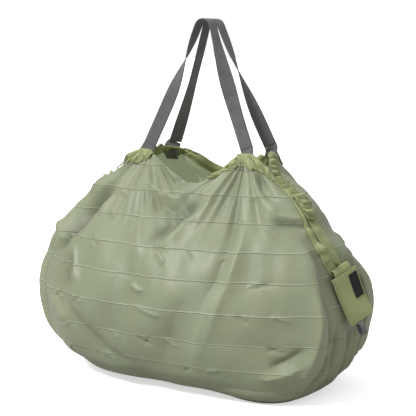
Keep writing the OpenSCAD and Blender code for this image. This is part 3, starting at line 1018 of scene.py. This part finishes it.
# Name, angles round the mouth, (x, depth) points, how it stands, rows, ruffles, and the CAD node it replaces.
BANDS = [
    ("front_hem_facing_band", (228, 312), [(0, 27)], inside, 16, None, "front_hem_facing"),
    ("back_hem_facing_band", (48, 132), [(0, 27)], inside, 16, None, "back_hem_facing"),
    ("front_hem_facing_turned_left", (219, 239), [(-134, 2), (-124, 26), (-106, 34), (-90, 34), (-80, 10)],
     turned_out, 20, gathers(5, 0.4, 20, 40), None),
    ("front_hem_facing_turned_right", (283, 324),
     [(38, 1), (62, 14), (92, 34), (112, 38), (130, 30), (152, 14), (165, 2)],
     turned_out, 20, gathers(8, 1.2, 12, 30), None),
    ("right_gathered_hem_ruffle", (27, 53), [(84, 4), (110, 26), (190, 36), (215, 30), (235, 16)],
     turned_out, 36, gathers(3, 6.0, 8, 17), "right_gathered_hem"),
    ("right_gathered_hem_band", (3, 31), [(185, 16), (205, 30), (225, 36), (245, 36)],
     turned_out, 20, flared(gathers(4, 0.8, 22, 50), 9), None),
    ("right_gathered_hem_front", (322, 357), [(150, 2), (190, 12), (225, 26), (262, 34)],
     turned_out, 14, gathers(14, 0.5, 24, 50), None),
    ("right_gathered_hem_lining", (318, 402), [(0, 24)], inside, 16, gathers(6, 0.8, 12, 30), None),
    ("left_gathered_hem_ruffle", (129, 153), [(-235, 16), (-215, 30), (-190, 36), (-110, 26), (-84, 4)],
     turned_out, 36, gathers(9, 3.0, 9, 18), "left_gathered_hem"),
    ("left_gathered_hem_band", (149, 177), [(-245, 36), (-225, 36), (-205, 30), (-185, 16)],
     turned_out, 20, gathers(10, 0.8, 22, 50), None),
    ("left_gathered_hem_lining", (138, 222), [(0, 24)], inside, 16, gathers(12, 0.8, 12, 30), None),
]
for band in BANDS:
    make_band(*band)


# ---- end tabs

# Half the thickness of a tab, how much a hem adds to it, and the gap at its hinge.
TAB_HALF_THICKNESS = 0.55
HEM_RELIEF = 0.35
HINGE_GAP = 0.4
# Lines of stitching on a tab's hems and on its stub.
HEM_LINE = [(-26.5, -4), (-26.5, -80), (26.5, -80), (26.5, -4)]
ROOT_LINE = [(-17, 4), (17, 4)]
# The stub: half its width, its height, and its depth at the front edge and at the rear edge.
ROOT_HALF_WIDTH = 20
ROOT_HEIGHT = 11
ROOT_FRONT_DEPTH = 6.5
ROOT_REAR_DEPTH = {"right": 19, "left": 6.5}


def tab_bow(y, z):
    """The tab's cloth is not quite flat: it curls a little along its free edges."""
    wave = 1.3 * np.sin(z / 21 + y / 38) * ease(-z, 4, 30) * (1 - ease(-z, 66, 82))
    return wave + 1.8 * ease(-z, 50, 86) * (y / 30) ** 4


def tab_outline(y_share, z):
    """Half-width of the tab at a depth, with rounded lower corners."""
    corner = 6
    drop = np.clip(-z - (TAB_LENGTH - corner), 0, corner)
    narrowed = corner - np.sqrt(np.maximum(corner**2 - drop**2, 0))
    return y_share * (TAB_WIDTH / 2 - narrowed)


def make_tab(which):
    """Doubled cloth with a turned hem: the two long edges and the foot are thicker than the middle."""
    down = HINGE_GAP + np.linspace(0, 1, 61) * (TAB_LENGTH - HINGE_GAP)
    y_share, z = np.meshgrid(np.linspace(-1, 1, 49), -down)
    y = tab_outline(y_share, z)
    hem = np.minimum(ease(np.abs(y_share), 0.86, 0.90) + ease(-z, 78.5, 80.5), 1)
    stand = TAB_HALF_THICKNESS + HEM_RELIEF * hem
    faces_of_cloth = [
        np.stack([face * stand + tab_bow(y, z), y, z], -1).reshape(-1, 3) for face in (1, -1)
    ]
    points = np.concatenate([tab_place(which, face) for face in faces_of_cloth])
    rows, columns = y.shape[0] - 1, y.shape[1] - 1
    front = grid_faces(rows, columns)
    back = grid_faces(rows, columns, len(points) // 2)[:, ::-1]
    rim = border_faces(rows, columns)
    obj = make_object(f"{which}_end_tab_cloth", points, np.concatenate([front, back, rim]), TAB_CLOTH)
    belongs(obj, f"{which}_tab", f"{which}_end_tab")


def make_stitches(name, which, line, body, replaced=None):
    """A row of stitches along a line of (y, z) points on a tab's outer face."""
    def place(y, z, rise):
        surface = TAB_HALF_THICKNESS + HEM_RELIEF + tab_bow(y, min(z, 0))
        return tab_place(which, (surface + rise, y, z))

    obj = thread_object(name, [line], place, THREAD)
    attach(obj, body)
    if replaced:
        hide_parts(replaced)


def make_tab_root(which):
    """Gathered stub at the end seam: a fold of cloth with small upright pleats."""
    across, up = np.meshgrid(np.linspace(-1, 1, 61), np.linspace(0, 1, 17))
    y, z = ROOT_HALF_WIDTH * across, 0.5 + ROOT_HEIGHT * up
    pleat = 0.7 * np.sin(across * 19) + 0.4 * np.sin(across * 37 + 1)
    outer = np.stack([0.3 + pleat * (1 - 0.4 * up) - 1.5 * up**2, y, z], -1)
    depth = ROOT_FRONT_DEPTH + (ROOT_REAR_DEPTH[which] - ROOT_FRONT_DEPTH) * (across + 1) / 2
    inner = np.stack([-depth, y, z], -1)
    top = outer[-1] + (inner[-1] - outer[-1]) * np.linspace(0, 1, 9)[1:, None, None]
    top[..., 2] += 0.8 * np.sin(np.linspace(0, math.pi, 9))[1:, None]
    points = np.concatenate([outer, top])
    obj = patch_object(f"{which}_tab_root_cloth", tab_place(which, points), TAB_CLOTH, 1.2)
    belongs(obj, "bag", f"{which}_tab_root")


def make_label():
    """Plain woven label with folded ends, sewn along the tab's rear edge."""
    y, z = np.meshgrid(np.linspace(7, 27, 21), np.linspace(-8, -50, 43))
    fold = 0.25 * (ease(-z, 8, 9) - ease(-z, 10.5, 12)) + 0.25 * (ease(-z, 46, 47.5) - ease(-z, 49, 50))
    points = np.stack([1.05 + fold + tab_bow(y, z), y, z], -1)
    obj = patch_object("woven_label_cloth", tab_place("right", points), LABEL, 0.5)
    belongs(obj, "right_tab", "woven_label")


def make_loop():
    """Elastic loop that hangs from the tab's lower edge."""
    radius, length, middle_y, half_width = 5.2, 22.0, -6.0, 5
    top = -TAB_LENGTH - 1.7
    bend = np.linspace(0, math.pi, 15)
    upper = np.stack([radius * np.cos(bend), top - radius + radius * np.sin(bend)], -1)
    lower = np.stack([-radius * np.cos(bend), top - length + radius - radius * np.sin(bend)], -1)
    line = np.concatenate([upper, lower, upper[:1]])
    steps = distances(line)
    even = np.linspace(0, steps[-1], 73)
    width = np.linspace(-half_width, half_width, 9)
    x, across = np.meshgrid(np.interp(even, steps, line[:, 0]), width, indexing="ij")
    z = np.interp(even, steps, line[:, 1])[:, None] + 0 * across
    points = tab_place("right", np.stack([x, middle_y + across, z], -1))
    obj = patch_object("retaining_loop_elastic", points, ELASTIC, 1.2)
    belongs(obj, "elastic_loop", "retaining_loop")


for which in TABS:
    make_tab(which)
    make_tab_root(which)
    make_stitches(f"{which}_tab_hem_stitches", which, HEM_LINE, f"{which}_tab")
make_stitches("right_tab_root_stitches", "right", ROOT_LINE, "bag", replaced="tab_stitching")
make_stitches("left_tab_root_stitches", "left", ROOT_LINE, "bag")
make_label()
make_loop()

# ---- stage, light and camera

FLOOR_SIZE = 120.0
FLOOR_BOUNCE = (0.5, 0.5, 0.48, 1)
FLOOR_SEEN = (0.97, 0.97, 0.97, 1)
FLOOR_GLOW = 0.6
LIGHT_BELOW, LIGHT_ABOVE = (0.17, 0.17, 0.17, 1), (0.76, 0.76, 0.76, 1)
SUN_DIRECTION, SUN_STRENGTH, SUN_SOFTNESS = (-0.28, -0.9, 0.95), 2.1, 10
CAMERA_AZIMUTH, CAMERA_ELEVATION = 31.4, 7.6
CAMERA_DISTANCE, CAMERA_AIM_Z, CAMERA_LENS = 2.101, 0.299, 103.8
# How far to the left of the bag's middle the camera aims.
CAMERA_AIM_LEFT = 0.003


def make_floor():
    """A floor that looks white but sends less light back, so that the bag's underside stays in soft shade."""
    mesh = bpy.data.meshes.new("floor")
    s = FLOOR_SIZE / 2
    mesh.from_pydata([(-s, -s, 0), (s, -s, 0), (s, s, 0), (-s, s, 0)], [], [(0, 1, 2, 3)])
    n = Nodes("floor_white")
    seen = n.add("ShaderNodeLightPath").outputs["Is Camera Ray"]
    n.link(n.mix(seen, FLOOR_BOUNCE, FLOOR_SEEN), n.shader.inputs["Base Color"])
    n.set(Roughness=1.0, Specular_IOR_Level=0.0, Emission_Color=(1, 1, 1, 1))
    n.link(n.math("MULTIPLY", seen, FLOOR_GLOW), n.shader.inputs["Emission Strength"])
    mesh.materials.append(n.material)
    add_object("floor", mesh)


def make_world():
    """A studio that lights from above more than from the side, and looks white."""
    world = bpy.data.worlds.new("studio")
    world.use_nodes = True
    tree = world.node_tree
    coord = tree.nodes.new("ShaderNodeTexCoord")
    split = tree.nodes.new("ShaderNodeSeparateXYZ")
    ramp = tree.nodes.new("ShaderNodeValToRGB")
    ramp.color_ramp.elements[0].position = 0.0
    ramp.color_ramp.elements[0].color = LIGHT_BELOW
    ramp.color_ramp.elements[1].position = 0.9
    ramp.color_ramp.elements[1].color = LIGHT_ABOVE
    light = tree.nodes.new("ShaderNodeLightPath")
    seen = tree.nodes.new("ShaderNodeMix")
    seen.data_type = "RGBA"
    seen.inputs[7].default_value = (1.0, 1.0, 1.0, 1)
    tree.links.new(coord.outputs["Generated"], split.inputs[0])
    tree.links.new(split.outputs["Z"], ramp.inputs[0])
    tree.links.new(ramp.outputs["Color"], seen.inputs[6])
    tree.links.new(light.outputs["Is Camera Ray"], seen.inputs[0])
    tree.links.new(seen.outputs[2], tree.nodes["Background"].inputs["Color"])
    bpy.context.scene.world = world


def make_sun():
    data = bpy.data.lights.new("soft_sun", "SUN")
    data.energy = SUN_STRENGTH
    data.angle = math.radians(SUN_SOFTNESS)
    sun = add_object("soft_sun", data)
    sun.rotation_euler = Vector(SUN_DIRECTION).to_track_quat("Z", "Y").to_euler()


def make_camera():
    a, e = math.radians(CAMERA_AZIMUTH), math.radians(CAMERA_ELEVATION)
    back = Vector((math.sin(a) * math.cos(e), -math.cos(a) * math.cos(e), math.sin(e)))
    right = Vector((math.cos(a), math.sin(a), 0))
    data = bpy.data.cameras.new("camera")
    data.lens = CAMERA_LENS
    data.sensor_width = 36
    camera = add_object("camera", data)
    aim = Vector((0, 0, CAMERA_AIM_Z)) - right * CAMERA_AIM_LEFT
    camera.location = aim + back * CAMERA_DISTANCE
    camera.rotation_euler = (-back).to_track_quat("-Z", "Y").to_euler()
    bpy.context.scene.camera = camera


make_floor()
make_world()
make_camera()
make_sun()
bpy.context.scene.view_settings.view_transform = "Standard"
